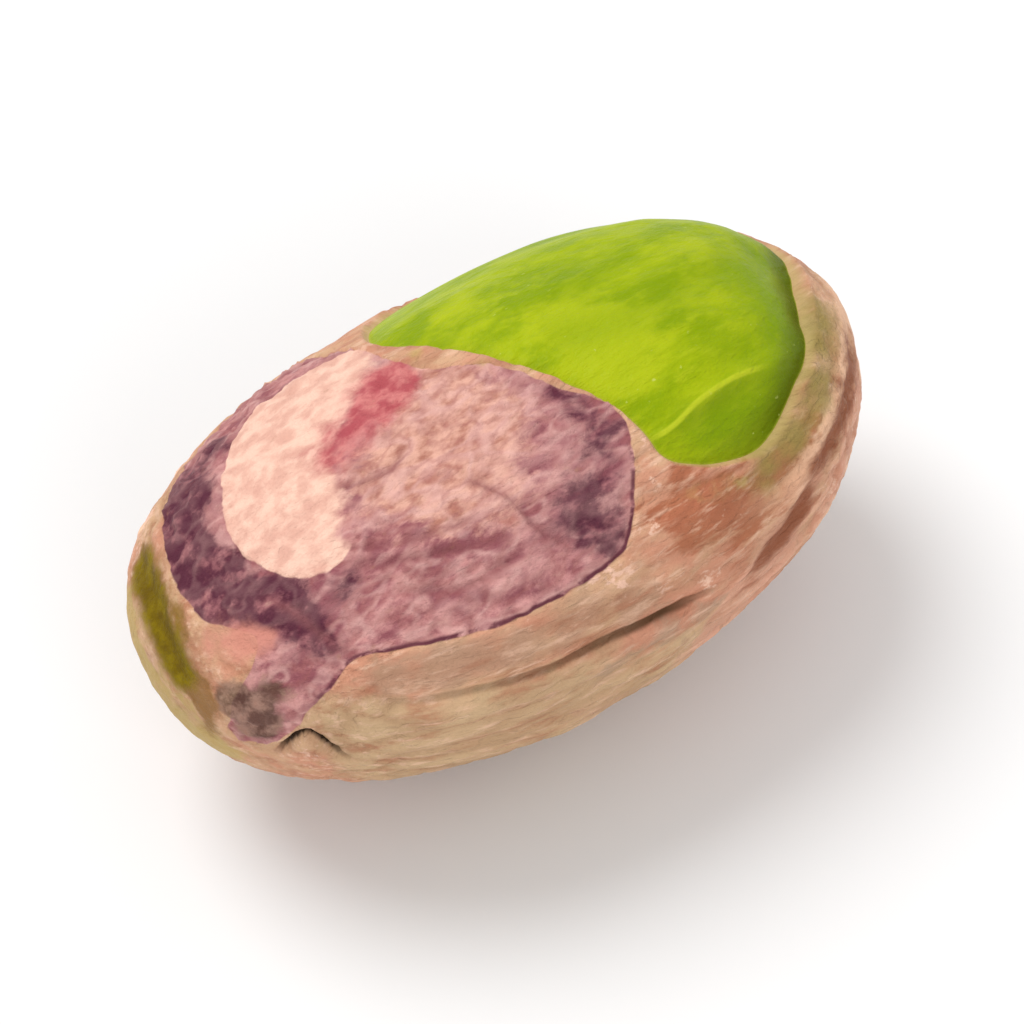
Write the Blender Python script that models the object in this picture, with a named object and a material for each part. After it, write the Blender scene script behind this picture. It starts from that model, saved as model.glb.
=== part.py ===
"""Shelled pistachio kernel, grown as one piece, lying on a small flat spot.

Metres, +Z up. The long axis lies along X, with the blunt end, where the seed was joined
to its stalk, at -X. The origin is in the middle of the bounding box, on the flat spot.
"""

import math

import bmesh
import bpy
from mathutils import Vector

MM = 0.001

# Driving dimensions of the plain oval, before its corners and its fold
LENGTH = 17.0 * MM
WIDTH = 9.7 * MM
HEIGHT = 8.9 * MM
REST_SPOT_LENGTH = 4.8 * MM

# Form
END_FULLNESS = 2.25  # 2 gives elliptic ends, more gives blunter ones
END_SWEEP = Vector((0.0, 0.35, 0.30)) * MM  # how far both ends curve away from the middle
CORNER_SHARE = 0.03  # rounded three-cornered section, as a share of the radius
CORNER_ANGLE = math.radians(64)  # from +Z towards -Y, where one corner lies

# The fold that runs along the flank, just below that corner
FOLD_ANGLE = math.radians(74)
FOLD_HALF_ANGLE = math.radians(6)
FOLD_MIDDLE = 1.2 * MM
FOLD_HALF_LENGTH = 4.6 * MM
FOLD_DEPTH = 0.2 * MM

# Mesh
RING_POINTS = 56
RINGS = 34

COAT_COLOUR = (0.50, 0.30, 0.18, 1.0)
COAT_ROUGHNESS = 0.6


def clear_scene():
    for existing in list(bpy.data.objects):
        bpy.data.objects.remove(existing)


def collection(name):
    made = bpy.data.collections.new(name)
    bpy.context.scene.collection.children.link(made)
    return made


def bell(value, middle, half_width):
    """1 at the middle, 1/e at the half width, nearly 0 at twice the half width."""
    return math.exp(-(((value - middle) / half_width) ** 2))


def section_share(angle, along):
    """The radius at an angle from +Z towards -Y, as a share of the plain oval's."""
    corners = CORNER_SHARE * math.cos(3 * (angle - CORNER_ANGLE))
    fold = bell(angle, FOLD_ANGLE, FOLD_HALF_ANGLE) * bell(along, FOLD_MIDDLE, FOLD_HALF_LENGTH)
    return 1 + corners - FOLD_DEPTH / (HEIGHT / 2) * fold


def kernel_point(direction):
    """Where the surface lies in a direction of the unit sphere, from the kernel's middle."""
    end_share = direction.x
    ring_share = (1 - abs(end_share) ** END_FULLNESS) ** (1 / END_FULLNESS)
    angle = math.atan2(-direction.y, direction.z)
    along = end_share * LENGTH / 2
    radius_share = ring_share * section_share(angle, along)
    across = -math.sin(angle) * radius_share * WIDTH / 2
    upward = math.cos(angle) * radius_share * HEIGHT / 2
    return Vector((along, across, upward)) + END_SWEEP * end_share**2


def kernel_mesh():
    """A sphere with its poles on the long axis, shaped point by point."""
    shape = bmesh.new()
    bmesh.ops.create_uvsphere(shape, u_segments=RING_POINTS, v_segments=RINGS, radius=1)
    for point in shape.verts:
        poles_along_x = Vector((point.co.z, point.co.y, -point.co.x)).normalized()
        point.co = kernel_point(poles_along_x)
    mesh = bpy.data.meshes.new("kernel")
    shape.to_mesh(mesh)
    shape.free()
    mesh.shade_smooth()
    return mesh


def rest_spot_depth():
    """How much of the round underside is cut away to give a spot of the wanted length."""
    end_share = REST_SPOT_LENGTH / LENGTH
    return (1 - (1 - end_share**END_FULLNESS) ** (1 / END_FULLNESS)) * HEIGHT / 2


def place_on_rest_spot(kernel):
    """Centres the kernel on the origin, low enough for the spot to be cut at Z = 0."""
    points = [point.co for point in kernel.data.vertices]
    middle = [(min(p[axis] for p in points) + max(p[axis] for p in points)) / 2 for axis in (0, 1)]
    lowest = min(p.z for p in points)
    kernel.location = (-middle[0], -middle[1], -lowest - rest_spot_depth())


def add_rest_spot(kernel, cutters):
    """Cuts the underside flat with a slab whose top is the surface the kernel lies on."""
    bpy.ops.mesh.primitive_cube_add(size=1)
    slab = bpy.context.active_object
    slab.name = "rest_slab"
    slab.dimensions = (2 * LENGTH, 2 * WIDTH, HEIGHT)
    slab.location = (0, 0, -HEIGHT / 2)
    slab.display_type = "WIRE"
    slab.hide_render = True
    for home in list(slab.users_collection):
        home.objects.unlink(slab)
    cutters.objects.link(slab)
    cut = kernel.modifiers.new("rest spot", "BOOLEAN")
    cut.operation = "DIFFERENCE"
    cut.object = slab


def coat_material():
    material = bpy.data.materials.new("seed_coat")
    material.use_nodes = True
    shader = material.node_tree.nodes["Principled BSDF"]
    shader.inputs["Base Color"].default_value = COAT_COLOUR
    shader.inputs["Roughness"].default_value = COAT_ROUGHNESS
    shader.inputs["Metallic"].default_value = 0.0
    return material


def main():
    clear_scene()
    parts = collection("pistachio_kernel")
    cutters = collection("cutters")
    kernel = bpy.data.objects.new("kernel", kernel_mesh())
    kernel.data.materials.append(coat_material())
    parts.objects.link(kernel)
    place_on_rest_spot(kernel)
    add_rest_spot(kernel, cutters)


main()
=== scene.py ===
"""Looks of the shelled pistachio kernel: a papery coat torn open over waxy green flesh.

The surface is one closed mesh. It starts as a dense ball, gets lines of edges where the
coat's layers are torn, and is then shaped. Sizes are in millimetres until the mesh is
finished, and metres after that. A place on the kernel is (along, angle): millimetres along
X from the middle, and degrees round X from +Z towards -Y.
"""

import math

import bmesh
import bpy
import numpy as np
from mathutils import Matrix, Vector, kdtree, noise


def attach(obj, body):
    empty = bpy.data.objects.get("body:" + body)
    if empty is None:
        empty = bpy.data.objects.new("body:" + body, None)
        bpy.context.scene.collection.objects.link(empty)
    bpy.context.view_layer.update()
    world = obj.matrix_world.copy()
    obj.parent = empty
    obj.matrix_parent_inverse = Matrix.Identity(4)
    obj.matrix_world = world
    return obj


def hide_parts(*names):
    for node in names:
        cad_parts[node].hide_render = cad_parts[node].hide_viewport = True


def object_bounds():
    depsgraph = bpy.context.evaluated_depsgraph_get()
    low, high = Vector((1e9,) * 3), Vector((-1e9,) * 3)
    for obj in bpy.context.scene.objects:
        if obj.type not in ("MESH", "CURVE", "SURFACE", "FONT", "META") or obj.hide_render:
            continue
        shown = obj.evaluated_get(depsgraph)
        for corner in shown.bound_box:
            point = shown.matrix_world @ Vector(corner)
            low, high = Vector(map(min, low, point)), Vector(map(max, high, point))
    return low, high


MM = 0.001

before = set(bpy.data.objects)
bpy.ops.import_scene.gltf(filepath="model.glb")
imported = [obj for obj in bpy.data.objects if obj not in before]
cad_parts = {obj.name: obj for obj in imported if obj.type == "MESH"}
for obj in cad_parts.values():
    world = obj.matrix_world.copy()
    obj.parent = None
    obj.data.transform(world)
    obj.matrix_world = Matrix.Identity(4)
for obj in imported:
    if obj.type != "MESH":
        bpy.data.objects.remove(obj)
cad_low, cad_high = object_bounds()

# The plain oval, as the CAD model has it
LENGTH = (cad_high.x - cad_low.x) / MM
WIDTH = (cad_high.y - cad_low.y) / MM
CAP_FACTOR = 1.013  # how much higher the oval is with the cap that the rest spot cuts away
HEIGHT = CAP_FACTOR * (cad_high.z - cad_low.z) / MM
END_FULLNESS = 2.25
END_SWEEP = np.array([0.0, 0.35, 0.30])
CORNER_SHARE = 0.03  # the section is slightly three-cornered, by this share of its radius
CORNER_ANGLE = math.radians(64)
LENGTHWISE_LEAN = np.array([0.2, 1, 1])  # the oval is long, so its normals lean little along X
MEAN_RADIUS = 4.6  # about the oval's, for fibres that run lengthwise

# Divisions of the starting ball
DIVISIONS_ALONG = 158
DIVISIONS_ACROSS = 92

# Layers
COAT_STEP = 0.17  # how far the flesh lies below the coat
EDGE_WALL = 0.12  # width of the slope at the coat's torn edge
LAYER_STEP = 0.055  # how far the inner coat lies below the outer one
LAYER_WALL = 0.07  # width of the slope at the edges of the patch and the film
FILM_STEP = 0.05  # how far the pale film stands above the inner coat
FILM_MELT = 0.9  # width over which the film's melting side fades out

# Relief: heights of what stands up or is pressed in
LUMP_HEIGHT = 0.10
FLESH_BULGE = 0.17
CREST_HEIGHT = 0.05
LOBE_DEPTH = 0.17
FURROW_DEPTH = 0.05
HOLLOW_DEPTH = 0.20
WRINKLE_DEPTH = 0.065
CRUMPLE_DEPTH = 0.035
FIBRE_HEIGHT = 0.028
LIP_HEIGHT = 0.03
RIM_HEIGHT = 0.13
FOLD_DEPTH = 0.24
FOLD_SWELL = 0.12
CRACK_DEPTH = 0.24
CRACK_SWELL = 0.10
GROOVE_DEPTH = 0.10
TIP_DEPTH = 0.12
NET_HEIGHT = 0.065
FINE_NET_HEIGHT = 0.045
BUCKLE_HEIGHT = 0.05
FILM_GRAIN_HEIGHT = 0.03
PATCH_FOLD_HEIGHT = 0.065

# Half widths of the lines
CREST_WIDTH = 0.09
FURROW_WIDTH = 0.35
CRACK_WIDTH = 0.07
GROOVE_WIDTH = 0.22
TIP_WIDTH = 0.3
PATCH_FOLD_WIDTH = 0.1

# Which material a face has
COAT_INDEX = 0
FLESH_INDEX = 1

# Small numbers of the mesh and its noise
ON_LINE = 1e-6  # a point this near a torn line counts as on it
SLIDE_SHARE = 0.15  # a point nearer than this to a torn line is moved onto it
NO_LENGTH = 1e-12
LACUNARITY = 2.0
CREASE_SHARPNESS = 2.6

# Vector noise is shifted by the clock until it has a seed of its own.
NOISE_SEED = 7
noise.seed_set(NOISE_SEED)

# Outlines of the torn places, as closed loops of (along, angle)
FLESH_WINDOW = [
    (-1.45, -36), (-1.0, -26), (0.2, -5), (1.2, 15), (1.6, 29), (1.7, 38), (2.2, 44),
    (3.6, 51), (4.5, 50), (5.5, 44), (6.3, 38), (7.0, 27), (7.6, 6), (7.9, -18),
    (7.85, -42), (6.6, -64), (3.6, -73), (1.2, -66), (-0.5, -54),
]
BACK_WINDOW = [
    (-5.2, -150), (-3.6, -142), (-1.6, -143), (0.6, -140), (2.4, -143), (3.1, -151),
    (1.4, -157), (-0.8, -155), (-2.6, -160), (-4.2, -159),
]
VIOLET_PATCH = [
    (-1.7, -28), (-1.3, -16), (-0.35, -6), (0.3, 4), (0.85, 13), (1.3, 22), (1.2, 31),
    (0.85, 39), (0.4, 47), (-0.25, 54), (-1.8, 56), (-3.7, 55), (-5.4, 51), (-6.0, 52),
    (-6.55, 60), (-7.05, 70), (-7.5, 86), (-7.85, 94), (-8.08, 88), (-8.04, 70), (-7.8, 53),
    (-7.4, 42), (-7.15, 33), (-7.35, 24), (-7.65, 15), (-7.7, 3), (-7.58, -17), (-7.25, -31),
    (-6.65, -44), (-5.45, -54), (-4.3, -57), (-3.1, -55), (-2.2, -43),
]
FILM = [
    (-1.75, -34), (-2.8, -39), (-3.9, -41), (-4.8, -38), (-5.7, -28), (-6.3, -14), (-6.57, 0),
    (-6.35, 13), (-5.95, 21), (-5.3, 23), (-4.65, 19), (-4.1, 12), (-3.85, 4), (-3.6, -3),
    (-3.2, -8), (-2.6, -13), (-2.0, -17), (-1.5, -24),
]
SMALL_PATCHES = [
    [(-4.4, 173), (-2.6, 167), (-0.9, 171), (-1.2, 184), (-3.0, 191), (-4.6, 185)],
    [(2.6, -110), (4.4, -105), (5.6, -114), (5.0, -128), (3.4, -133), (2.4, -122)],
]

# Lines on the surface
CREST_LINE = [(1.45, 33), (2.2, 33), (3.05, 31), (4.05, 31), (5.15, 34)]
FURROW_LINE = [(0.9, -5), (2.0, -1), (3.5, 1), (5.0, -1), (6.5, -5)]
FOLD_LINE = [(-5.9, 67), (-4.4, 70), (-2.8, 73), (-0.85, 74), (0.4, 76), (2.2, 77)]
CRACK_LINE = [(-7.53, 100), (-7.34, 86), (-7.12, 78), (-6.95, 79), (-6.72, 87), (-6.25, 99)]
RIM_GROOVE = [
    (8.1, 28), (7.7, 50), (6.95, 59), (6.05, 64), (5.0, 69), (4.0, 77), (3.0, 81), (2.0, 89),
]
TIP_LINE = [(-7.3, -60), (-7.8, -43), (-8.08, -22), (-8.27, -2), (-8.36, 30), (-8.2, 62)]
MELT_LINE = [
    (-4.5, 17), (-4.1, 11), (-3.85, 6), (-3.6, -3), (-3.2, -8), (-2.6, -13), (-2.0, -17), (-1.3, -27),
]
PATCH_FOLDS = [
    [(-5.5, 17), (-4.97, 21), (-4.1, 27), (-2.95, 30), (-2.0, 30)],
    [(-5.4, 25), (-4.6, 30), (-3.6, 34), (-2.4, 38), (-1.3, 38)],
    [(-4.8, 2), (-4.4, 5), (-3.9, 7), (-3.2, 8), (-2.4, 2)],
    [(-2.4, 18), (-2.1, 23), (-1.8, 30), (-1.6, 40), (-1.0, 50)],
    [(-5.0, 37), (-4.1, 42), (-3.3, 45), (-2.4, 44), (-1.8, 41)],
    [(-6.9, 18), (-6.5, 30), (-6.3, 40), (-6.0, 52)],
]

# Pressed-in places of the flesh, as (along, angle, radius, strength) blobs
LOBE = [(3.7, 41, 1.5, 1.0)]
FAR_HOLLOW = [(7.3, 5, 0.9, 1.0), (6.8, 28, 0.7, 0.9), (5.9, 39, 0.6, 0.5)]

# Soft painted zones that only the colours read, as (along, angle, radius, strength) blobs.
# Straw skin lies round the stalk end, and in thin bits beside the flesh window.
COLOUR_ZONES = {
    "olive": [
        (6.75, 37, 0.7, 1.1), (5.75, 49, 0.7, 1.1), (4.65, 54, 0.6, 1.0), (3.7, 56, 0.55, 0.9),
        (7.3, 28, 0.5, 0.8), (2.7, 53, 0.4, 0.5), (7.0, -64, 0.8, 0.6), (4.0, -83, 0.9, 0.7),
        (-1.5, -130, 1.4, 0.6), (3.4, -139, 1.2, 0.6),
    ],
    "hem": [
        (1.2, 38, 0.9, 1.0), (0.1, 51, 0.9, 1.0), (-1.3, 56, 0.9, 1.0), (-2.7, 56, 0.9, 1.0),
        (-4.2, 54, 0.9, 1.0), (-5.5, 51, 0.8, 1.0), (-6.4, 58, 0.6, 0.9), (-2.6, 169, 1.8, 0.8),
        (4.2, -122, 1.6, 0.8),
    ],
    "dusk": [
        (-0.5, 41, 0.7, 0.8), (-0.3, 49, 0.5, 0.7), (0.2, 33, 0.6, 0.55), (0.95, 26, 0.5, 0.7),
        (-1.2, 38, 0.45, 0.5), (-1.6, 43, 0.35, 0.35), (-0.1, 20, 0.8, 0.2), (0.85, 18, 0.4, 0.55),
        (0.5, 11, 0.45, 0.5), (-0.1, 3, 0.4, 0.35), (-5.3, -40, 0.4, 1.1), (-6.1, -40, 0.5, 1.4),
        (-6.7, -33, 0.6, 1.6), (-7.2, -20, 0.6, 1.6), (-7.3, -1, 0.65, 1.6), (-7.05, 14, 0.6, 1.6),
        (-6.6, 22, 0.6, 1.7), (-6.45, 33, 0.5, 1.6), (-6.2, 43, 0.4, 1.0), (-5.4, 29, 0.5, 0.7),
        (-2.6, 168, 1.0, 0.5), (4.2, -120, 0.8, 0.5),
    ],
    "warm": [
        (-1.6, -7, 1.2, 0.9), (-1.2, 6, 0.9, 0.7), (-1.9, 9, 1.2, 0.8), (-2.8, 17, 1.2, 0.7),
        (-3.4, 5, 1.0, 0.6), (-1.6, 24, 0.9, 0.5), (-1.4, -22, 0.5, 0.6),
    ],
    "ash": [(-7.9, 60, 0.4, 1.0), (-7.6, 67, 0.45, 1.1), (-7.25, 58, 0.35, 0.8), (-7.75, 80, 0.4, 0.8)],
    "crimson": [
        (-1.75, -17, 0.42, 0.9), (-2.3, -15, 0.56, 1.2), (-2.9, -12, 0.56, 1.0), (-3.6, -9, 0.55, 0.8),
        (-4.1, -8, 0.45, 0.45), (-1.45, -23, 0.3, 0.5),
    ],
    "beige": [
        (-5.8, 88, 1.3, 1.0), (-3.6, 92, 1.5, 1.0), (-1.8, 92, 1.2, 1.0), (-4.2, 120, 2.0, 1.0),
        (0.6, 97, 1.2, 0.9), (-1.4, 127, 2.2, 0.9), (3.4, 171, 2.2, 0.8), (-3.0, -101, 2.0, 0.8),
        (-6.3, 77, 0.7, 0.8),
    ],
    # Drab skin, and painted shade along the upper side of the fold.
    "drab_and_fold_shade": [
        (-5.4, 60, 0.6, 0.9), (-4.2, 62, 0.6, 1.0), (-3.0, 63, 0.6, 1.0), (-1.6, 64, 0.6, 1.0),
        (-0.2, 66, 0.6, 0.8), (2.0, 152, 1.4, 0.5), (-5.0, -122, 1.2, 0.5),
    ],
    "grey": [(0.2, 81, 0.6, 0.8), (-1.2, 83, 0.5, 0.7), (1.4, 83, 0.5, 0.8), (0.0, 162, 1.2, 0.6)],
    "rosy": [
        (2.2, 92, 0.9, 0.9), (3.3, 83, 0.8, 0.9), (1.8, 106, 0.9, 0.8), (4.6, 68, 0.9, 0.7),
        (-1.0, 106, 1.2, 0.4), (5.6, 112, 2.0, 0.7), (6.8, 90, 1.2, 0.8), (1.0, -90, 2.0, 0.6),
        (5.0, 175, 2.4, 0.6), (-5.6, 162, 1.6, 0.6), (-5.0, -85, 1.4, 0.6), (7.6, -58, 1.2, 0.6),
    ],
    "russet": [
        (1.0, 56, 0.7, 0.9), (2.0, 56, 0.9, 1.0), (3.2, 60, 0.9, 1.0), (4.4, 62, 0.8, 0.9),
        (5.6, 58, 0.7, 0.8), (1.9, 43, 0.5, 0.6), (2.6, 70, 0.7, 0.7), (3.8, 112, 2.0, 0.5),
        (0.5, -112, 2.0, 0.6), (-4.8, 178, 2.0, 0.5), (6.4, -112, 1.5, 0.6), (5.6, 152, 1.8, 0.6),
    ],
    "fleck": [
        (-0.65, 56, 0.3, 0.9), (-0.3, 59, 0.3, 0.8), (0.5, 53, 0.35, 0.9), (-1.2, 58, 0.3, 0.7),
        (1.05, 44, 0.3, 0.8), (0.5, 68, 0.35, 0.9), (1.6, 72, 0.35, 1.0), (1.45, 34, 0.25, 0.7),
        (2.6, 64, 0.5, 0.4), (-2.6, 58, 0.3, 0.5), (-4.0, 56, 0.3, 0.5), (1.0, 98, 0.3, 0.6),
        (-7.1, 91, 0.3, 1.0), (-6.9, -58, 0.5, 1.2), (-5.7, -64, 0.5, 1.2), (-7.6, -54, 0.4, 0.9),
        (-4.2, -66, 0.5, 1.0), (-2.9, -64, 0.4, 0.9), (7.0, 74, 0.5, 0.8), (5.6, 83, 0.5, 0.8),
    ],
    "pale_edge": [
        (8.1, 45, 0.35, 0.9), (8.0, 72, 0.4, 1.0), (7.4, 92, 0.45, 1.0), (6.6, 96, 0.45, 1.0),
        (5.7, 97, 0.45, 0.9), (4.9, 93, 0.45, 0.8), (-7.0, -63, 0.45, 1.0), (-6.3, -62, 0.4, 0.8),
        (-5.6, -65, 0.4, 1.0), (-4.8, -63, 0.4, 0.9), (-3.8, -66, 0.4, 0.7),
    ],
    "straw": [
        (-1.2, -20, 0.25, 0.6), (-0.3, -8, 0.25, 0.6), (0.45, 2, 0.25, 0.6), (1.1, 12, 0.25, 0.6),
        (1.5, 23, 0.2, 0.5), (2.0, 49, 0.3, 0.5), (2.8, 54, 0.3, 0.5),
        (-8.2, -72, 0.7, 0.9), (-8.45, -142, 0.9, 1.0), (-8.2, 162, 0.9, 0.9), (-8.1, 122, 0.7, 0.8),
        (-8.4, 58, 0.5, 0.6), (7.9, 152, 1.4, 0.5),
    ],
    "bronze": [
        (-8.3, 60, 0.5, 0.9), (-8.1, 48, 0.4, 0.6), (-8.35, 95, 0.5, 0.7), (-7.45, -44, 0.3, 1.0),
        (-7.75, -28, 0.3, 0.9), (-7.95, -10, 0.3, 0.8), (-8.05, 8, 0.3, 0.7),
    ],
    "peach": [
        (-7.2, 33, 0.3, 1.1), (-7.45, 31, 0.4, 1.1), (-7.7, 22, 0.35, 0.7), (6.2, 140, 0.9, 0.6),
    ],
    "pale_flesh": [
        (0.4, -30, 1.0, 0.8), (1.8, -9, 1.0, 0.8), (3.0, 5, 1.0, 0.7), (2.0, 18, 0.6, 0.9),
        (4.6, 5, 0.7, 0.6), (1.8, 7, 0.7, 0.8), (5.6, -9, 0.7, 0.5),
    ],
    "dark_flesh": [
        (6.3, 15, 0.8, 0.9), (5.9, 28, 0.7, 0.8), (5.8, -3, 0.6, 0.6), (4.1, -4, 0.6, 0.6),
        (2.6, -21, 0.9, 0.7), (2.6, 33, 0.5, 0.6), (4.2, 20, 0.8, 0.5), (7.0, -9, 0.7, 0.9),
        (5.0, 38, 0.7, 0.7),
    ],
}


def smoothstep(value, low, high):
    share = np.clip((value - low) / (high - low), 0, 1)
    return share * share * (3 - 2 * share)


def bell(value, half_width):
    """1 at 0, and 1/e at the half width."""
    return np.exp(-((value / half_width) ** 2))


# ---- the plain oval and its chart -------------------------------------------------


def oval_point(along_share, angle):
    """Points of the plain oval in millimetres, at shares of its half length and angles in radians."""
    ring = (1 - np.abs(along_share) ** END_FULLNESS) ** (1 / END_FULLNESS)
    radius = ring * (1 + CORNER_SHARE * np.cos(3 * (angle - CORNER_ANGLE)))
    straight = np.stack(
        [
            along_share * LENGTH / 2,
            -np.sin(angle) * radius * WIDTH / 2,
            np.cos(angle) * radius * HEIGHT / 2,
        ],
        axis=-1,
    )
    return straight + END_SWEEP * (along_share**2)[..., None]


def place(along, angle):
    """Points of the plain oval, from millimetres along it and degrees round it."""
    return oval_point(np.atleast_1d(along) / (LENGTH / 2), np.radians(np.atleast_1d(angle)))


def chart(points):
    """(along, angle) of points near the oval, in millimetres and degrees."""
    share = np.clip(points[:, 0] / (LENGTH / 2), -1, 1)
    across = points - END_SWEEP * (share**2)[:, None]
    return share * LENGTH / 2, np.degrees(np.arctan2(-across[:, 1] / WIDTH, across[:, 2] / HEIGHT))


def smooth_line(marks, closed, steps=24):
    """A Catmull-Rom curve through marks, which are (along, angle), as an array of them."""
    marks = np.array(marks, float)
    if closed:
        padded = np.concatenate([marks[-1:], marks, marks[:2]])
    else:
        padded = np.concatenate([2 * marks[:1] - marks[1:2], marks, 2 * marks[-1:] - marks[-2:-1]])
    t = np.linspace(0, 1, steps, endpoint=False)[:, None]
    spans = []
    for a, b, c, d in zip(padded, padded[1:], padded[2:], padded[3:]):
        bend = (2 * a - 5 * b + 4 * c - d) * t**2 + (3 * b - a - 3 * c + d) * t**3
        spans.append(b + ((c - a) * t + bend) / 2)
    return np.concatenate(spans)


def nearest(line, points, closed=False):
    """Distance of each point to a line of chart places, and where on the line it is nearest."""
    places = place(line[:, 0], line[:, 1])
    tree = kdtree.KDTree(len(places))
    for index, position in enumerate(places):
        tree.insert(position, index)
    tree.balance()
    found = [tree.find(point) for point in points]
    index = np.array([f[1] for f in found])
    distance = np.array([f[2] for f in found])
    for step in (-1, 1):
        end = (index + step) % len(places) if closed else np.clip(index + step, 0, len(places) - 1)
        run = places[end] - places[index]
        share = ((points - places[index]) * run).sum(1) / np.maximum((run**2).sum(1), NO_LENGTH)
        foot = places[index] + np.clip(share, 0, 1)[:, None] * run
        distance = np.minimum(distance, np.linalg.norm(points - foot, axis=1))
    return distance, index


def inside(loop, points):
    """True for the points whose chart places lie inside a closed loop, by the even-odd rule."""
    along, angle = chart(points)
    middle = (loop[:, 1].min() + loop[:, 1].max()) / 2
    angle = (angle - middle + 180) % 360 - 180 + middle
    within = np.zeros(len(points), bool)
    for (along_a, angle_a), (along_b, angle_b) in zip(loop, np.roll(loop, -1, axis=0)):
        spans = (angle_a > angle) != (angle_b > angle)
        rise = (angle - angle_a) / (angle_b - angle_a) if angle_a != angle_b else 0
        within ^= spans & (along < along_a + (along_b - along_a) * rise)
    return within


def ragged(points, amount, size, seed, octaves=2):
    """Points moved about on the oval by turbulence, so that an outline read at them turns out torn."""
    shift = Vector((seed,) * 3)
    moves = [noise.turbulence_vector(Vector(p / size) + shift, octaves, False) for p in points]
    return place(*chart(points + amount * np.array(moves)))


def depth_inside(marks, points):
    """Millimetres inside a closed outline, negative outside it."""
    loop = smooth_line(marks, closed=True)
    distance, _ = nearest(loop, points, closed=True)
    return np.where(inside(loop, points), distance, -distance)


def along_line(marks, points):
    """Signed distance to a line, the share of its length, and 1 fading to 0 at both ends.

    The distance is positive on the line's right, seen from outside with the line running away.
    """
    line = smooth_line(marks, closed=False)
    distance, index = nearest(line, points)
    share = index / (len(line) - 1)
    fade = smoothstep(share, 0.0, 0.2) * smoothstep(1 - share, 0.0, 0.2)
    places = place(line[:, 0], line[:, 1])
    ahead = np.gradient(places, axis=0)[index]
    outward = points * LENGTHWISE_LEAN
    side = np.sign((np.cross(ahead, outward) * (points - places[index])).sum(1))
    return distance * side, share, fade


def zone(points, blobs):
    """A soft field: the sum of (along, angle, radius, strength) blobs."""
    total = np.zeros(len(points))
    for along, angle, radius, strength in blobs:
        offset = (points - place(along, angle)) / radius
        total += strength * np.exp(-(offset**2).sum(1))
    return total


# ---- the ball and its torn lines --------------------------------------------------


def dense_ball():
    """A cube divided finely along its edges, with its points moved out onto the unit ball."""
    cube_size = 2
    ball = bmesh.new()
    bmesh.ops.create_cube(ball, size=cube_size)
    for axis, divisions in enumerate((DIVISIONS_ALONG, DIVISIONS_ACROSS, DIVISIONS_ACROSS)):
        whole = [
            edge for edge in ball.edges
            if abs(edge.verts[0].co[axis] - edge.verts[1].co[axis]) > cube_size / 2
        ]
        bmesh.ops.subdivide_edges(ball, edges=whole, cuts=divisions - 1, use_grid_fill=True)
    for point in ball.verts:
        point.co = Vector([math.tan(c * math.pi / 4) for c in point.co]).normalized()
    return ball


def unit_points(ball):
    points = np.array([point.co for point in ball.verts])
    return points / np.linalg.norm(points, axis=1)[:, None]


def oval_places(ball):
    unit = unit_points(ball)
    return oval_point(unit[:, 0], np.arctan2(-unit[:, 1], unit[:, 2]))


def slide(point, other, share, layers):
    """Moves a point towards another by a share of the way, with its layer values."""
    point.co = point.co.lerp(other.co, share)
    for layer in layers:
        point[layer] += (other[layer] - point[layer]) * share


def lay_line(ball, layers, name, level):
    """Adds a line of edges to the ball where the named layer passes a level.

    Points near the level are moved onto it, longer crossings are split, and faces that the line
    crosses are cut in the order of their numbers, so that each run builds the same mesh.
    """
    layer = layers[name]
    near_line = set()
    for edge in ball.edges:
        a, b = edge.verts
        above_a, above_b = a[layer] - level, b[layer] - level
        if above_a * above_b >= 0:
            continue
        share = above_a / (above_a - above_b)
        if share > 0.5:
            a, b, share = b, a, 1 - share
        if share < SLIDE_SHARE:
            slide(a, b, share, layers.values())
            a[layer] = level
            near_line.add(a)
    for edge in list(ball.edges):
        a, b = edge.verts
        above_a, above_b = a[layer] - level, b[layer] - level
        if above_a * above_b < 0 and min(abs(above_a), abs(above_b)) > ON_LINE:
            _, added = bmesh.utils.edge_split(edge, a, above_a / (above_a - above_b))
            added[layer] = level
            near_line.add(added)
    ball.faces.index_update()
    touched = {face.index: face for point in near_line for face in point.link_faces}
    for _, face in sorted(touched.items()):
        on_line = [point for point in face.verts if abs(point[layer] - level) < ON_LINE]
        if len(on_line) == 2 and not any(on_line[1] in edge.verts for edge in on_line[0].link_edges):
            bmesh.utils.face_split(face, *on_line)


def torn_fields(points):
    """Depth inside each torn outline, in millimetres."""
    coarse = ragged(points, amount=0.055, size=1.4, seed=3.0)
    fine = ragged(coarse, amount=0.018, size=0.35, seed=9.0, octaves=1)
    torn = ragged(points, amount=0.07, size=0.6, seed=15.0)
    fields = {
        "flesh": np.maximum(depth_inside(FLESH_WINDOW, coarse), depth_inside(BACK_WINDOW, fine)),
        "patch": depth_inside(VIOLET_PATCH, torn),
        "film": depth_inside(FILM, torn),
    }
    for marks in SMALL_PATCHES:
        fields["patch"] = np.maximum(fields["patch"], depth_inside(marks, fine))
    return fields


def torn_ball():
    """The ball with its torn lines, and the layers that hold the depth inside each outline."""
    ball = dense_ball()
    fields = torn_fields(oval_places(ball))
    layers = {name: ball.verts.layers.float.new(name) for name in fields}
    for name, values in fields.items():
        for point, value in zip(ball.verts, values):
            point[layers[name]] = value
    lay_line(ball, layers, "flesh", 0.0)
    lay_line(ball, layers, "flesh", -EDGE_WALL)
    lay_line(ball, layers, "patch", 0.0)
    lay_line(ball, layers, "patch", -LAYER_WALL)
    lay_line(ball, layers, "film", 0.0)
    lay_line(ball, layers, "film", LAYER_WALL)
    bmesh.ops.triangulate(ball, faces=[face for face in ball.faces if len(face.verts) > 4])
    return ball, layers


# ---- relief -----------------------------------------------------------------------


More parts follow.
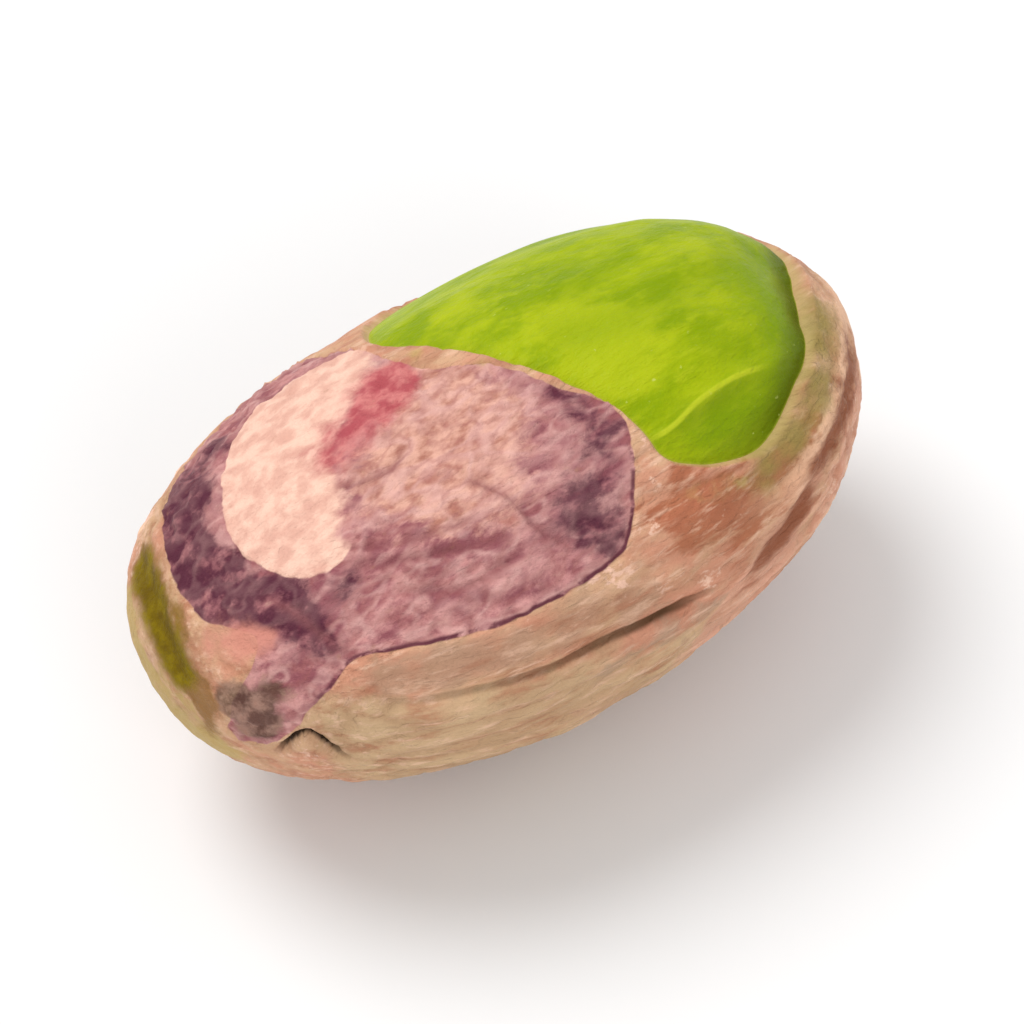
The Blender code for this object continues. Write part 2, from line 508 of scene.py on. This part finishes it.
def grain_space(points):
    """Places whose distance round X stays the same at every ring, so that fibres run lengthwise.

    Towards the tips they turn into true places, so that the fibres don't meet in a point.
    """
    along, angle = chart(points)
    angle = np.radians(angle)
    share = np.abs(along) / (LENGTH / 2)
    ring = (1 - np.minimum(share, 1) ** END_FULLNESS) ** (1 / END_FULLNESS)
    tip = smoothstep(share, 0.45, 0.97)
    radius = MEAN_RADIUS * (1 - tip * (1 - ring))
    return np.stack([along, -np.sin(angle) * radius, np.cos(angle) * radius], axis=-1)


def hum(points, size, stretch=(1, 1, 1), seed=0.0, octaves=3, roughness=0.5):
    """Smooth fractal noise of about -1 to 1, whose lumps are size millimetres across."""
    scaled = points / (size * np.array(stretch)) + seed
    return np.array([noise.fractal(Vector(p), roughness, LACUNARITY, octaves) for p in scaled])


def creases(points, size, stretch=(1, 1, 1), seed=0.0, octaves=2):
    """Sharp thin creases: 1 in them, falling to 0 between them."""
    return np.clip(1 - CREASE_SHARPNESS * np.abs(hum(points, size, stretch, seed, octaves)), 0, 1)


def layer_masks(points, fields):
    """Shares of 0 to 1: each layer, the middle away from both ends, and the rim at the far end."""
    along, angle = chart(points)
    melt, _ = nearest(smooth_line(MELT_LINE, closed=False), points)
    masks = {"flesh": smoothstep(fields["flesh"], -EDGE_WALL, 0.0)}
    masks["patch"] = smoothstep(fields["patch"], -LAYER_WALL, 0.0) * (1 - masks["flesh"])
    masks["film"] = smoothstep(fields["film"], 0.0, LAYER_WALL) * smoothstep(melt, 0.0, FILM_MELT)
    masks["middle"] = smoothstep(-np.abs(along), -8.0, -6.2)
    masks["rim"] = smoothstep(along, 2.4, 5.2) * smoothstep(-np.abs(angle - 10), -110, -70)
    return masks


def flesh_relief(points, fields, masks, lines):
    """The waxy flesh: a bulge in its window, a ridge with a hollow lobe below it, and dents."""
    depth = fields["flesh"]
    crest, _, crest_fade = lines["crest"]
    furrow, _, furrow_fade = lines["furrow"]
    lobe = masks["flesh"] * smoothstep(crest, 0.0, 0.3) * zone(points, LOBE)
    far_hollow = zone(points, FAR_HOLLOW)
    grain = grain_space(points)
    height = -COAT_STEP + FLESH_BULGE * (1 - np.exp(-np.maximum(depth, 0) / 0.8))
    height += CREST_HEIGHT * bell(crest, CREST_WIDTH) * crest_fade - LOBE_DEPTH * lobe
    height -= FURROW_DEPTH * bell(furrow, FURROW_WIDTH) * furrow_fade
    height -= HOLLOW_DEPTH * far_hollow
    height += 0.05 * hum(grain, size=1.2, stretch=(3.5, 1, 1), seed=4.0, octaves=2)
    height += 0.012 * hum(grain, size=0.4, stretch=(4, 1, 1), seed=14.0, octaves=2)
    return height, lobe


def coat_relief(points, fields, masks, lines):
    """The papery coat: lengthwise wrinkles, a raised rim round the flesh, and its lines."""
    grain = grain_space(points)
    out = -fields["flesh"]
    calm = (1 - 0.8 * masks["patch"]) * (0.4 + 0.6 * masks["middle"])
    wrinkles = creases(grain, size=1.0, stretch=(4.5, 1, 1), seed=1.0)
    crumples = creases(grain, size=0.5, stretch=(2.2, 1, 1), seed=8.0)
    fibres = hum(grain, size=0.36, stretch=(6, 1, 1), seed=5.0)
    height = calm * (-WRINKLE_DEPTH * wrinkles - CRUMPLE_DEPTH * crumples + FIBRE_HEIGHT * fibres)
    height += LIP_HEIGHT * np.exp(-np.maximum(out - EDGE_WALL, 0) / 0.25)
    height += masks["rim"] * RIM_HEIGHT * bell(out - 1.1, 0.55)
    fold, fold_share, fold_fade = lines["fold"]
    deep = 0.45 + 0.55 * smoothstep(fold_share, 0.25, 0.8)
    above = smoothstep(-fold, 0.42, 0.0) * (fold <= 0)
    below = smoothstep(fold, 0.13, 0.0) * (fold > 0)
    height -= fold_fade * deep * FOLD_DEPTH * (above + below)
    height += fold_fade * FOLD_SWELL * bell(fold - 0.4, 0.3)
    crack, _, crack_fade = lines["crack"]
    height -= CRACK_DEPTH * bell(crack, CRACK_WIDTH) * crack_fade
    height += CRACK_SWELL * bell(crack - 0.3, 0.18) * crack_fade * (crack > 0)
    groove, _, groove_fade = lines["groove"]
    height -= GROOVE_DEPTH * bell(groove, GROOVE_WIDTH) * groove_fade
    tip, _, tip_fade = lines["tip"]
    height -= TIP_DEPTH * bell(tip, TIP_WIDTH) * tip_fade
    return height, wrinkles


def patch_relief(points, fields, masks, lines):
    """The inner coat, crumpled like tissue, a step below the outer one, and the film on it."""
    net = creases(points, size=0.8, stretch=(1.8, 1, 1), seed=2.0, octaves=3)
    net_fine = creases(points, size=0.34, stretch=(1.5, 1, 1), seed=7.0)
    buckles = hum(points, size=1.3, stretch=(1.5, 1, 1), seed=17.0, octaves=2)
    film_grain = hum(points, size=0.5, seed=6.0)
    out = -fields["patch"]
    lip = LIP_HEIGHT * np.exp(-np.maximum(out - LAYER_WALL, 0) / 0.15) * (out > 0)
    bare = masks["patch"] * (1 - 0.8 * masks["film"])
    height = -LAYER_STEP * masks["patch"] + FILM_STEP * masks["film"] + lip
    height += bare * (NET_HEIGHT * net + FINE_NET_HEIGHT * net_fine + BUCKLE_HEIGHT * buckles)
    height += masks["film"] * (FILM_GRAIN_HEIGHT * film_grain + FILM_GRAIN_HEIGHT * net)
    for number in range(len(PATCH_FOLDS)):
        fold, _, fade = lines[f"patch_fold_{number}"]
        step = smoothstep(fold, 0.35, 0.0) * (fold > 0) + smoothstep(-fold, 0.1, 0.0) * (fold <= 0)
        height += PATCH_FOLD_HEIGHT * bare * fade * (step - 0.8 * bell(fold + 0.16, PATCH_FOLD_WIDTH))
    return height, net


def surface_lines(points):
    """Signed distance, share and fade of every line, by name."""
    named = {
        "crest": CREST_LINE,
        "furrow": FURROW_LINE,
        "fold": FOLD_LINE,
        "crack": CRACK_LINE,
        "groove": RIM_GROOVE,
        "tip": TIP_LINE,
    }
    for number, marks in enumerate(PATCH_FOLDS):
        named[f"patch_fold_{number}"] = marks
    return {name: along_line(marks, points) for name, marks in named.items()}


def place_in_frame(points):
    """The move that brings the plain oval to where the CAD model has it: centred, and as high."""
    sideways = (points.min(0) + points.max(0)) / 2
    return np.array([-sideways[0], -sideways[1], cad_high.z / MM - points[:, 2].max()])


def shaped(ball, layers):
    """Moves the ball's points to the kernel's surface.

    Returns the points of the plain oval, and the facts that the materials read.
    """
    points = oval_places(ball)
    for point, position in zip(ball.verts, points):
        point.co = position
    ball.normal_update()
    normals = np.array([point.normal for point in ball.verts])
    fields = {name: np.array([point[layer] for point in ball.verts]) for name, layer in layers.items()}
    masks = layer_masks(points, fields)
    lines = surface_lines(points)
    flesh_height, lobe = flesh_relief(points, fields, masks, lines)
    coat_height, wrinkles = coat_relief(points, fields, masks, lines)
    patch_height, net = patch_relief(points, fields, masks, lines)
    lumps = LUMP_HEIGHT * hum(points, size=4.5, stretch=(1.6, 1, 1), seed=11.0, octaves=2)
    height = masks["flesh"] * flesh_height + (1 - masks["flesh"]) * (coat_height + patch_height) + lumps
    positions = points + normals * height[:, None]
    positions += place_in_frame(points)
    positions[:, 2] = np.maximum(positions[:, 2], 0)
    for point, position in zip(ball.verts, positions):
        point.co = Vector(position) * MM
    facts = {
        "flesh": fields["flesh"],
        "patch": fields["patch"],
        "film_mask": masks["film"],
        "rim_mask": masks["rim"],
        "lobe": lobe,
        "middle": masks["middle"],
        "wrinkles": wrinkles,
        "net": net,
        "tip": 1.3 * bell(lines["tip"][0], 0.55) * lines["tip"][2],
        "groove": 1.2 * bell(lines["groove"][0], 0.42) * lines["groove"][2],
        "furrow": bell(lines["furrow"][0], 0.5) * lines["furrow"][2],
        "fold_depth": smoothstep(lines["fold"][1], 0.2, 0.85),
    }
    for name in ("crest", "fold", "crack"):
        facts[name], _, facts[name + "_fade"] = lines[name]
    facts["patch_folds"] = np.zeros(len(points))
    for number in range(len(PATCH_FOLDS)):
        fold, _, fade = lines[f"patch_fold_{number}"]
        facts["patch_folds"] = np.maximum(facts["patch_folds"], fade * bell(fold + 0.12, PATCH_FOLD_WIDTH))
    return points, facts


# ---- materials --------------------------------------------------------------------

SPECULAR_LEVEL = 0.08


def node(tree, kind, settings=None, **inputs):
    """A new node. An input is named as in Blender, with _ for a space, and takes a socket or a value."""
    made = tree.nodes.new(kind)
    for name, value in (settings or {}).items():
        setattr(made, name, value)
    for name, value in inputs.items():
        plug(tree, made.inputs[name.replace("_", " ")], value)
    return made


def plug(tree, socket, value):
    """Links a socket to the input, or sets it to a plain value."""
    if isinstance(value, bpy.types.NodeSocket):
        tree.links.new(value, socket)
    else:
        socket.default_value = value


def fact(tree, name):
    """The number that each point of the mesh holds under a name."""
    return node(tree, "ShaderNodeAttribute", {"attribute_name": name}).outputs["Fac"]


def vector_fact(tree, name):
    return node(tree, "ShaderNodeAttribute", {"attribute_name": name}).outputs["Vector"]


def calc(tree, operation, first, second=0.0):
    made = node(tree, "ShaderNodeMath", {"operation": operation})
    plug(tree, made.inputs[0], first)
    plug(tree, made.inputs[1], second)
    return made.outputs[0]


def soft_step(tree, value, low, high):
    settings = {"interpolation_type": "SMOOTHSTEP"}
    made = node(tree, "ShaderNodeMapRange", settings, Value=value, From_Min=low, From_Max=high)
    return made.outputs["Result"]


def cloud(tree, place_fact, size, stretch=1.0, detail=3.0, roughness=0.5, warp=0.0):
    """Noise of 0 to 1 on a place attribute in millimetres, stretched along X."""
    spread = node(tree, "ShaderNodeMapping", Vector=vector_fact(tree, place_fact))
    spread.inputs["Scale"].default_value = (1 / (size * stretch), 1 / size, 1 / size)
    made = node(tree, "ShaderNodeTexNoise", Vector=spread.outputs[0], Scale=1.0, Detail=detail)
    made.inputs["Roughness"].default_value = roughness
    made.inputs["Distortion"].default_value = warp
    return made.outputs["Fac"]


def paint(tree, share, under, over):
    """The over colour laid on the under colour, as much as share says."""
    made = node(tree, "ShaderNodeMix", {"data_type": "RGBA", "clamp_factor": True})
    plug(tree, made.inputs["Factor"], share)
    plug(tree, made.inputs["A"], under)
    plug(tree, made.inputs["B"], over)
    return made.outputs["Result"]


def rgb(red, green, blue):
    return (red, green, blue, 1.0)


def new_material(name):
    """A new material, its node tree and its shader."""
    material = bpy.data.materials.new(name)
    material.use_nodes = True
    tree = material.node_tree
    return material, tree, tree.nodes["Principled BSDF"]


def times(tree, *values):
    """The product of sockets and numbers."""
    product = values[0]
    for value in values[1:]:
        product = calc(tree, "MULTIPLY", product, value)
    return product


def veins(tree, place_fact, size, stretch, width, detail=2.0):
    """Wandering lines: 1 on them, 0 beside them."""
    off_middle = calc(tree, "SUBTRACT", cloud(tree, place_fact, size, stretch, detail, 0.5), 0.5)
    return soft_step(tree, calc(tree, "ABSOLUTE", off_middle), width, 0.0)


def broken(tree, name, clouds, amount=1.8, low=0.2, high=0.8):
    """A painted zone whose rim the clouds break up."""
    swing = times(tree, calc(tree, "SUBTRACT", clouds, 0.5), amount)
    return soft_step(tree, calc(tree, "ADD", fact(tree, name), swing), low, high)


def drawn_line(tree, name, width):
    """A thin line where the named distance is near 0."""
    off_line = calc(tree, "ABSOLUTE", fact(tree, name))
    return times(tree, soft_step(tree, off_line, width, 0.35 * width), fact(tree, name + "_fade"))


def plus(tree, value, share, offset):
    """value * share + offset"""
    made = node(tree, "ShaderNodeMath", {"operation": "MULTIPLY_ADD"})
    plug(tree, made.inputs[0], value)
    made.inputs[1].default_value = share
    made.inputs[2].default_value = offset
    return made.outputs[0]


def flesh_material():
    """Waxy green flesh, streaked and dented, with painted shade under the coat's rim, along its furrow, in
    its lobe and in hollow places, and with painted glints and a painted highlight along its crest.
    """
    material, tree, shader = new_material("green_flesh")
    depth = fact(tree, "flesh")
    broad = cloud(tree, "grain", 0.8, 2.2, 4.0, 0.62)
    fine = cloud(tree, "grain", 0.24, 2.6, 4.0, 0.62)
    colour = paint(tree, soft_step(tree, broad, 0.34, 0.68), rgb(0.22, 0.315, 0.0), rgb(0.35, 0.43, 0.003))
    colour = paint(tree, times(tree, soft_step(tree, fine, 0.5, 0.7), 0.5), colour, rgb(0.40, 0.47, 0.01))
    colour = paint(tree, times(tree, broken(tree, "pale_flesh", broad), 0.7), colour, rgb(0.40, 0.465, 0.008))
    # Painted shade: darker green in the flesh's hollow places and dents.
    hollow_shade = times(tree, broken(tree, "dark_flesh", broad, 1.2, 0.1, 1.1), 0.8)
    colour = paint(tree, hollow_shade, colour, rgb(0.17, 0.27, 0.001))
    # Painted shade: darker green along the pressed-in furrow and in the hollow lobe below the crest.
    colour = paint(tree, times(tree, fact(tree, "furrow"), 0.4), colour, rgb(0.19, 0.29, 0.001))
    colour = paint(tree, times(tree, fact(tree, "lobe"), 0.6), colour, rgb(0.17, 0.27, 0.001))
    # Painted shade: dark green where the flesh lies recessed under the coat's raised rim.
    rim_shade = times(tree, soft_step(tree, depth, 1.0, 0.15), fact(tree, "rim_mask"))
    colour = paint(tree, times(tree, rim_shade, 0.92), colour, rgb(0.085, 0.125, 0.0))
    # Painted highlight: a paler line along the raised crest.
    colour = paint(tree, times(tree, drawn_line(tree, "crest", 0.085), 0.75), colour, rgb(0.47, 0.52, 0.02))
    # Painted glints: small pale specks of highlight on the waxy flesh.
    painted_glints = cloud(tree, "spot", 0.15, 1.2, 2.0, 0.5)
    colour = paint(tree, times(tree, soft_step(tree, painted_glints, 0.72, 0.8), 0.45), colour, rgb(0.60, 0.64, 0.18))
    colour = paint(tree, times(tree, soft_step(tree, depth, 0.07, 0.0), 0.5), colour, rgb(0.40, 0.40, 0.04))
    plug(tree, shader.inputs["Base Color"], colour)
    plug(tree, shader.inputs["Roughness"], plus(tree, fine, 0.35, 0.24))
    shader.inputs["Specular IOR Level"].default_value = SPECULAR_LEVEL
    shader.inputs["Subsurface Weight"].default_value = 0.1
    shader.inputs["Subsurface Radius"].default_value = (0.5, 0.8, 0.1)
    shader.inputs["Subsurface Scale"].default_value = 0.4 * MM
    pits = cloud(tree, "spot", 0.16, 1.6, 3.0, 0.6)
    height = calc(tree, "ADD", fine, times(tree, pits, 0.6))
    bumps = node(tree, "ShaderNodeBump", Height=height, Distance=0.08 * MM, Strength=0.9)
    plug(tree, shader.inputs["Normal"], bumps.outputs[0])
    return material


def coat_colour(tree, streaks, specks):
    """The outer coat: tan and rose skin, streaked lengthwise, with its painted zones, painted shade in its
    wrinkles and painted shade above the fold.
    """
    threads = cloud(tree, "grain", 0.2, 4.5, 4.0, 0.62)
    blotches = cloud(tree, "spot", 1.5, 1.8, 4.0, 0.6)
    colour = paint(tree, soft_step(tree, blotches, 0.4, 0.6), rgb(0.62, 0.385, 0.23), rgb(0.60, 0.28, 0.18))
    beige = times(tree, broken(tree, "beige", specks, 1.2), 0.9)
    colour = paint(tree, beige, colour, rgb(0.55, 0.375, 0.215))
    colour = paint(tree, times(tree, broken(tree, "rosy", specks, 1.2), 0.8), colour, rgb(0.72, 0.38, 0.27))
    # Drab skin, darkened further as painted shade along the upper side of the fold.
    colour = paint(tree, times(tree, broken(tree, "drab_and_fold_shade", specks, 1.2), 0.85), colour, rgb(0.50, 0.30, 0.20))
    colour = paint(tree, times(tree, broken(tree, "grey", specks, 2.0), 0.7), colour, rgb(0.42, 0.29, 0.2))
    streak = soft_step(tree, streaks, 0.48, 0.66)
    colour = paint(tree, times(tree, streak, 0.5), colour, rgb(0.38, 0.145, 0.08))
    russet = broken(tree, "russet", streaks, 3.6, 0.4, 0.95)
    colour = paint(tree, times(tree, russet, 0.9), colour, rgb(0.40, 0.13, 0.065))
    light = times(tree, soft_step(tree, threads, 0.5, 0.7), 0.6)
    colour = paint(tree, light, colour, rgb(0.82, 0.53, 0.38))
    chips = cloud(tree, "spot", 0.13, 1.7, 3.0, 0.6)
    colour = paint(tree, broken(tree, "fleck", chips, 3.5, 0.7, 1.3), colour, rgb(0.80, 0.50, 0.37))
    # Painted shade: darker in the coat's wrinkles, the creases that the relief presses in.
    return paint(tree, times(tree, fact(tree, "wrinkles"), 0.3), colour, rgb(0.26, 0.11, 0.055))


def rim_colour(tree, colour, streaks, specks):
    """The coat's rim round the flesh window: olive inside, then a pale ridge with a painted highlight on its
    crest, and a brown groove darkened with painted shade.
    """
    out = calc(tree, "MULTIPLY", fact(tree, "flesh"), -1.0)
    rim = fact(tree, "rim_mask")
    reach = calc(tree, "ADD", out, times(tree, calc(tree, "SUBTRACT", specks, 0.5), 0.9))
    olive = times(tree, broken(tree, "olive", specks, 1.2, 0.0, 1.3), 0.95)
    colour = paint(tree, olive, colour, rgb(0.285, 0.215, 0.06))
    # Painted highlight: paler on the crest of the raised rim.
    ridge = times(tree, rim, soft_step(tree, reach, 0.7, 1.0), soft_step(tree, reach, 1.6, 1.2))
    colour = paint(tree, times(tree, ridge, 0.8), colour, rgb(0.84, 0.52, 0.34))
    # Brown skin along the groove beside the rim, darkened further as painted shade in the groove.
    groove = broken(tree, "groove", streaks, 2.2, 0.2, 1.2)
    colour = paint(tree, times(tree, groove, 0.9), colour, rgb(0.24, 0.075, 0.035))
    pale = broken(tree, "pale_edge", streaks, 2.4, 0.3, 1.1)
    colour = paint(tree, times(tree, pale, 0.9), colour, rgb(0.88, 0.56, 0.37))
    edge = soft_step(tree, fact(tree, "flesh"), -0.13, -0.02)
    return paint(tree, times(tree, edge, 0.6), colour, rgb(0.52, 0.40, 0.15))


def tip_colour(tree, colour, specks):
    """The stalk end: straw, bronze, ash and peach skin round a dark olive scar."""
    straw = times(tree, broken(tree, "straw", specks, 1.0), 0.8)
    colour = paint(tree, straw, colour, rgb(0.50, 0.37, 0.13))
    bronze = times(tree, broken(tree, "bronze", specks, 1.4), 0.85)
    colour = paint(tree, bronze, colour, rgb(0.25, 0.125, 0.035))
    ash = paint(tree, soft_step(tree, specks, 0.4, 0.64), rgb(0.085, 0.043, 0.027), rgb(0.30, 0.18, 0.13))
    colour = paint(tree, times(tree, broken(tree, "ash", specks, 1.6), 0.85), colour, ash)
    peach = times(tree, broken(tree, "peach", specks, 1.6, 0.1, 1.3), 0.85)
    colour = paint(tree, peach, colour, rgb(0.62, 0.25, 0.19))
    scar = paint(tree, soft_step(tree, specks, 0.3, 0.75), rgb(0.13, 0.078, 0.001), rgb(0.23, 0.16, 0.003))
    return paint(tree, broken(tree, "tip", specks, 0.8, 0.1, 1.0), colour, scar)


def patch_colour(tree):
    """The violet inner coat: tan in its middle, dark at its ends, creased all over, with painted shade in the
    dips beside its folds.
    """
    crumple = cloud(tree, "spot", 0.55, 1.6, 5.0, 0.65, 0.3)
    mottle = cloud(tree, "spot", 0.3, 1.6, 3.0, 0.55)
    colour = paint(tree, soft_step(tree, crumple, 0.4, 0.66), rgb(0.27, 0.085, 0.10), rgb(0.60, 0.28, 0.265))
    warm = paint(tree, soft_step(tree, mottle, 0.34, 0.6), rgb(0.44, 0.185, 0.13), rgb(0.74, 0.41, 0.31))
    colour = paint(tree, times(tree, broken(tree, "warm", crumple, 2.0), 0.9), colour, warm)
    bare = calc(tree, "SUBTRACT", 1.0, broken(tree, "dusk", crumple, 2.4, 0.2, 0.9))
    dusk = paint(tree, soft_step(tree, mottle, 0.48, 0.74), rgb(0.10, 0.024, 0.042), rgb(0.34, 0.13, 0.14))
    colour = paint(tree, bare, dusk, colour)
    light_veins = times(tree, veins(tree, "spot", 0.7, 2.0, 0.07), plus(tree, bare, 0.35, 0.1))
    colour = paint(tree, light_veins, colour, rgb(0.72, 0.42, 0.38))
    dark_veins = times(tree, veins(tree, "spot", 0.42, 1.8, 0.1, 3.0), bare, 0.4)
    colour = paint(tree, dark_veins, colour, rgb(0.34, 0.12, 0.11))
    net = times(tree, fact(tree, "net"), plus(tree, bare, 0.25, 0.1))
    colour = paint(tree, net, colour, rgb(0.70, 0.40, 0.36))
    # Painted shade: darker in the dips beside the inner coat's folds.
    colour = paint(tree, times(tree, fact(tree, "patch_folds"), 0.55), colour, rgb(0.21, 0.065, 0.07))
    hem = times(tree, soft_step(tree, fact(tree, "patch"), 0.13, 0.05), fact(tree, "hem"))
    hem = times(tree, hem, soft_step(tree, mottle, 0.38, 0.52))
    colour = paint(tree, times(tree, hem, 0.95), colour, rgb(0.13, 0.035, 0.05))
    film = paint(tree, soft_step(tree, mottle, 0.34, 0.66), rgb(0.69, 0.385, 0.30), rgb(0.86, 0.55, 0.43))
    colour = paint(tree, broken(tree, "film_mask", mottle, 1.3, 0.2, 0.8), colour, film)
    blush = paint(tree, soft_step(tree, mottle, 0.4, 0.68), rgb(0.42, 0.075, 0.09), rgb(0.62, 0.20, 0.19))
    return paint(tree, times(tree, broken(tree, "crimson", crumple, 1.6, 0.1, 1.1), 0.95), colour, blush)


def coat_material():
    """Both layers of the coat, told apart by the depth inside the patch."""
    material, tree, shader = new_material("seed_coat")
    streaks = cloud(tree, "grain", 0.5, 3.6, 5.0, 0.62)
    specks = cloud(tree, "spot", 0.4, 1.4, 4.0, 0.6)
    inner = soft_step(tree, fact(tree, "patch"), -0.02, 0.02)
    colour = coat_colour(tree, streaks, specks)
    colour = rim_colour(tree, colour, streaks, specks)
    colour = paint(tree, inner, colour, patch_colour(tree))
    colour = tip_colour(tree, colour, specks)
    # Painted shadow: a dark line under the fold's overhanging lip, darker where the fold is deeper.
    fold = times(tree, drawn_line(tree, "fold", 0.1), plus(tree, fact(tree, "fold_depth"), 0.6, 0.35))
    colour = paint(tree, fold, colour, rgb(0.085, 0.04, 0.016))
    # Painted shadow: a near-black line in the crack, under its folded skin.
    colour = paint(tree, times(tree, drawn_line(tree, "crack", 0.1), 0.97), colour, rgb(0.02, 0.008, 0.003))
    plug(tree, shader.inputs["Base Color"], colour)
    plug(tree, shader.inputs["Roughness"], plus(tree, specks, 0.25, 0.42))
    shader.inputs["Specular IOR Level"].default_value = SPECULAR_LEVEL
    outer = plus(tree, inner, -0.7, 1.0)
    wrinkle = times(tree, veins(tree, "grain", 0.32, 2.6, 0.09), outer, fact(tree, "middle"))
    pores = cloud(tree, "spot", 0.12, 1.5, 3.0, 0.65)
    height = calc(tree, "SUBTRACT", pores, times(tree, wrinkle, 0.35))
    bumps = node(tree, "ShaderNodeBump", Height=height, Distance=0.07 * MM, Strength=0.9)
    plug(tree, shader.inputs["Normal"], bumps.outputs[0])
    return material


def colour_zones(points, facts):
    """Adds the painted zones to the facts, with roughened rims."""
    warped = ragged(points, amount=0.25, size=1.1, seed=21.0, octaves=3)
    for name, blobs in COLOUR_ZONES.items():
        facts[name] = zone(warped, blobs)


# ---- the kernel -------------------------------------------------------------------


def add_fact(mesh, name, values):
    attribute = mesh.attributes.new(name, "FLOAT", "POINT")
    attribute.data.foreach_set("value", values.astype(np.float32))


def add_vector_fact(mesh, name, values):
    attribute = mesh.attributes.new(name, "FLOAT_VECTOR", "POINT")
    attribute.data.foreach_set("vector", values.astype(np.float32).ravel())


def make_kernel():
    ball, layers = torn_ball()
    points, facts = shaped(ball, layers)
    flesh_layer = layers["flesh"]
    for face in ball.faces:
        in_window = sum(point[flesh_layer] for point in face.verts) > 0
        face.smooth = True
        face.material_index = FLESH_INDEX if in_window else COAT_INDEX
    mesh = bpy.data.meshes.new("kernel_surface")
    ball.to_mesh(mesh)
    ball.free()
    # The facts take over the layers' names.
    for name in layers:
        mesh.attributes.remove(mesh.attributes[name])
    colour_zones(points, facts)
    for name, values in facts.items():
        add_fact(mesh, name, values)
    add_vector_fact(mesh, "grain", grain_space(points))
    add_vector_fact(mesh, "spot", points)
    mesh.materials.append(coat_material())
    mesh.materials.append(flesh_material())
    kernel = bpy.data.objects.new("kernel_surface", mesh)
    bpy.context.scene.collection.objects.link(kernel)
    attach(kernel, "root")
    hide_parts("kernel")


# ---- floor, light and camera ------------------------------------------------------

VIEW_AZIMUTH = -36
VIEW_ELEVATION = 51
LENS = 150
FRAME_SHARE = 0.76  # of the picture's width, taken by the kernel
SEEN_LENGTH_SHARE = 0.955  # of the kernel's length, as the slanting view shortens it
CLIP_RANGE = 100  # how far the clipping planes lie from the kernel, as a ratio of distances
FLOOR_SIZE = 2.0
WORLD_STRENGTH = 0.74


def make_floor():
    bpy.ops.mesh.primitive_plane_add(size=FLOOR_SIZE)
    floor = bpy.context.active_object
    floor.name = "floor"
    material, _, shader = new_material("pale_floor")
    shader.inputs["Base Color"].default_value = rgb(0.8, 0.8, 0.8)
    shader.inputs["Roughness"].default_value = 0.9
    floor.data.materials.append(material)


def aimed(thing, target):
    """Turns a lamp or camera to face the target."""
    direction = target - thing.location
    thing.rotation_mode = "QUATERNION"
    thing.rotation_quaternion = direction.to_track_quat("-Z", "Y")


def away(azimuth, elevation):
    """The direction from the kernel towards a view, azimuth 0 being from -Y."""
    a = math.radians(azimuth)
    e = math.radians(elevation)
    return Vector((math.sin(a) * math.cos(e), -math.cos(a) * math.cos(e), math.sin(e)))


def add_lamp(name, azimuth, elevation, distance, size, power):
    """A soft round lamp that faces the kernel. Distance and size are in metres, power in watts."""
    lamp = bpy.data.lights.new(name, "AREA")
    lamp.shape = "DISK"
    lamp.size = size
    lamp.energy = power
    holder = bpy.data.objects.new(name, lamp)
    bpy.context.scene.collection.objects.link(holder)
    holder.location = away(azimuth, elevation) * distance
    aimed(holder, Vector((0, 0, HEIGHT / 2 * MM)))


def make_light():
    world = bpy.data.worlds.new("studio")
    bpy.context.scene.world = world
    world.use_nodes = True
    background = world.node_tree.nodes["Background"]
    background.inputs["Color"].default_value = rgb(1.0, 1.0, 1.0)
    background.inputs["Strength"].default_value = WORLD_STRENGTH
    add_lamp("key", azimuth=-160, elevation=60, distance=0.5, size=0.3, power=1.5)
    add_lamp("fill", azimuth=-10, elevation=30, distance=0.6, size=0.4, power=0.9)


def make_camera():
    data = bpy.data.cameras.new("camera")
    data.lens = LENS
    camera = bpy.data.objects.new("camera", data)
    bpy.context.scene.collection.objects.link(camera)
    bpy.context.scene.camera = camera
    half_view = math.atan(data.sensor_width / 2 / LENS)
    seen_half_length = SEEN_LENGTH_SHARE * LENGTH / 2 * MM
    distance = seen_half_length / FRAME_SHARE / math.tan(half_view)
    target = Vector((0, 0, (cad_low.z + cad_high.z) / 2))
    camera.location = target + away(VIEW_AZIMUTH, VIEW_ELEVATION) * distance
    data.clip_start = distance / CLIP_RANGE
    data.clip_end = CLIP_RANGE * distance
    aimed(camera, target)


def main():
    make_kernel()
    make_floor()
    make_light()
    make_camera()
    bpy.context.scene.view_settings.view_transform = "Standard"


main()
